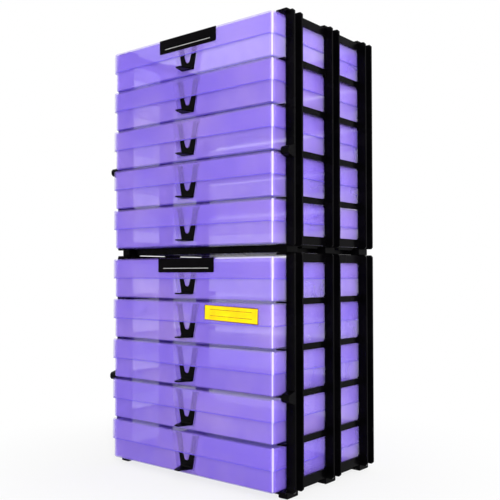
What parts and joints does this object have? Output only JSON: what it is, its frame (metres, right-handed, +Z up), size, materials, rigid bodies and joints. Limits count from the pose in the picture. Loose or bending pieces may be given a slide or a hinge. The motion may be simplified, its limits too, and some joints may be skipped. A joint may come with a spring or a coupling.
{
  "type": "paper storage drawers",
  "caption": "Two stacked open racks whose shallow lidded trays for flat sheets slide out to the front, each closed by a forked catch.",
  "frame": {"origin": "middle of the footprint, on the surface that the lower rack's feet stand on", "axes": "+X to the right seen from the front, +Y to the back, +Z up; the boxes slide out along -Y"},
  "size_m": [0.3466, 0.2476, 0.644],
  "materials": {
    "rack": "black moulded plastic, satin",
    "tray": "hazy translucent violet plastic",
    "lid": "hazy translucent violet plastic",
    "catch": "black plastic, smooth"
  },
  "bodies": {
    "lower_rack": {"lower_left_side_frame": "rack", "lower_left_base_rail": "rack", "lower_left_runners": "rack", "lower_left_top_rail": "rack", "lower_right_side_frame": "rack", "lower_right_base_rail": "rack", "lower_right_runners": "rack", "lower_right_top_rail": "rack", "lower_floor_panel": "rack", "lower_cross_tie": "rack"},
    "lower_box_1": {"lower_box_1_tray": "tray", "lower_box_1_lid": "lid"},
    "lower_box_1_catch": {"lower_box_1_catch": "catch"},
    "lower_box_2": {"lower_box_2_tray": "tray", "lower_box_2_lid": "lid"},
    "lower_box_2_catch": {"lower_box_2_catch": "catch"},
    "lower_box_3": {"lower_box_3_tray": "tray", "lower_box_3_lid": "lid"},
    "lower_box_3_catch": {"lower_box_3_catch": "catch"},
    "lower_box_4": {"lower_box_4_tray": "tray", "lower_box_4_lid": "lid"},
    "lower_box_4_catch": {"lower_box_4_catch": "catch"},
    "lower_box_5": {"lower_box_5_tray": "tray", "lower_box_5_lid": "lid"},
    "lower_box_5_catch": {"lower_box_5_catch": "catch"},
    "upper_rack": {"upper_left_side_frame": "rack", "upper_left_base_rail": "rack", "upper_left_runners": "rack", "upper_left_top_rail": "rack", "upper_right_side_frame": "rack", "upper_right_base_rail": "rack", "upper_right_runners": "rack", "upper_right_top_rail": "rack", "upper_floor_panel": "rack", "upper_cross_tie": "rack"},
    "upper_box_1": {"upper_box_1_tray": "tray", "upper_box_1_lid": "lid"},
    "upper_box_1_catch": {"upper_box_1_catch": "catch"},
    "upper_box_2": {"upper_box_2_tray": "tray", "upper_box_2_lid": "lid"},
    "upper_box_2_catch": {"upper_box_2_catch": "catch"},
    "upper_box_3": {"upper_box_3_tray": "tray", "upper_box_3_lid": "lid"},
    "upper_box_3_catch": {"upper_box_3_catch": "catch"},
    "upper_box_4": {"upper_box_4_tray": "tray", "upper_box_4_lid": "lid"},
    "upper_box_4_catch": {"upper_box_4_catch": "catch"},
    "upper_box_5": {"upper_box_5_tray": "tray", "upper_box_5_lid": "lid"},
    "upper_box_5_catch": {"upper_box_5_catch": "catch"}
  },
  "joints": [
    {"name": "upper_rack_lift", "type": "slide", "parent": "lower_rack", "child": "upper_rack", "axis": [0, 0, 1], "range_m": [0, 0.03]},
    {"name": "lower_box_1_slide", "type": "slide", "parent": "lower_rack", "child": "lower_box_1", "axis": [0, -1, 0], "range_m": [0, 0.23]},
    {"name": "lower_box_1_catch_swing", "type": "hinge", "parent": "lower_box_1", "child": "lower_box_1_catch", "pos_m": [0, -0.10275, 0.0646], "axis": [-1, 0, 0], "range_deg": [0, 6]},
    {"name": "lower_box_2_slide", "type": "slide", "parent": "lower_rack", "child": "lower_box_2", "axis": [0, -1, 0], "range_m": [0, 0.23]},
    {"name": "lower_box_2_catch_swing", "type": "hinge", "parent": "lower_box_2", "child": "lower_box_2_catch", "pos_m": [0, -0.10275, 0.1256], "axis": [-1, 0, 0], "range_deg": [0, 6]},
    {"name": "lower_box_3_slide", "type": "slide", "parent": "lower_rack", "child": "lower_box_3", "axis": [0, -1, 0], "range_m": [0, 0.23]},
    {"name": "lower_box_3_catch_swing", "type": "hinge", "parent": "lower_box_3", "child": "lower_box_3_catch", "pos_m": [0, -0.10275, 0.1866], "axis": [-1, 0, 0], "range_deg": [0, 6]},
    {"name": "lower_box_4_slide", "type": "slide", "parent": "lower_rack", "child": "lower_box_4", "axis": [0, -1, 0], "range_m": [0, 0.23]},
    {"name": "lower_box_4_catch_swing", "type": "hinge", "parent": "lower_box_4", "child": "lower_box_4_catch", "pos_m": [0, -0.10275, 0.2476], "axis": [-1, 0, 0], "range_deg": [0, 6]},
    {"name": "lower_box_5_slide", "type": "slide", "parent": "lower_rack", "child": "lower_box_5", "axis": [0, -1, 0], "range_m": [0, 0.23]},
    {"name": "lower_box_5_catch_swing", "type": "hinge", "parent": "lower_box_5", "child": "lower_box_5_catch", "pos_m": [0, -0.10275, 0.3086], "axis": [-1, 0, 0], "range_deg": [0, 6]},
    {"name": "upper_box_1_slide", "type": "slide", "parent": "upper_rack", "child": "upper_box_1", "axis": [0, -1, 0], "range_m": [0, 0.23]},
    {"name": "upper_box_1_catch_swing", "type": "hinge", "parent": "upper_box_1", "child": "upper_box_1_catch", "pos_m": [0, -0.10275, 0.3836], "axis": [-1, 0, 0], "range_deg": [0, 6]},
    {"name": "upper_box_2_slide", "type": "slide", "parent": "upper_rack", "child": "upper_box_2", "axis": [0, -1, 0], "range_m": [0, 0.23]},
    {"name": "upper_box_2_catch_swing", "type": "hinge", "parent": "upper_box_2", "child": "upper_box_2_catch", "pos_m": [0, -0.10275, 0.4446], "axis": [-1, 0, 0], "range_deg": [0, 6]},
    {"name": "upper_box_3_slide", "type": "slide", "parent": "upper_rack", "child": "upper_box_3", "axis": [0, -1, 0], "range_m": [0, 0.23]},
    {"name": "upper_box_3_catch_swing", "type": "hinge", "parent": "upper_box_3", "child": "upper_box_3_catch", "pos_m": [0, -0.10275, 0.5056], "axis": [-1, 0, 0], "range_deg": [0, 6]},
    {"name": "upper_box_4_slide", "type": "slide", "parent": "upper_rack", "child": "upper_box_4", "axis": [0, -1, 0], "range_m": [0, 0.23]},
    {"name": "upper_box_4_catch_swing", "type": "hinge", "parent": "upper_box_4", "child": "upper_box_4_catch", "pos_m": [0, -0.10275, 0.5666], "axis": [-1, 0, 0], "range_deg": [0, 6]},
    {"name": "upper_box_5_slide", "type": "slide", "parent": "upper_rack", "child": "upper_box_5", "axis": [0, -1, 0], "range_m": [0, 0.23]},
    {"name": "upper_box_5_catch_swing", "type": "hinge", "parent": "upper_box_5", "child": "upper_box_5_catch", "pos_m": [0, -0.10275, 0.6276], "axis": [-1, 0, 0], "range_deg": [0, 6]}
  ]
}
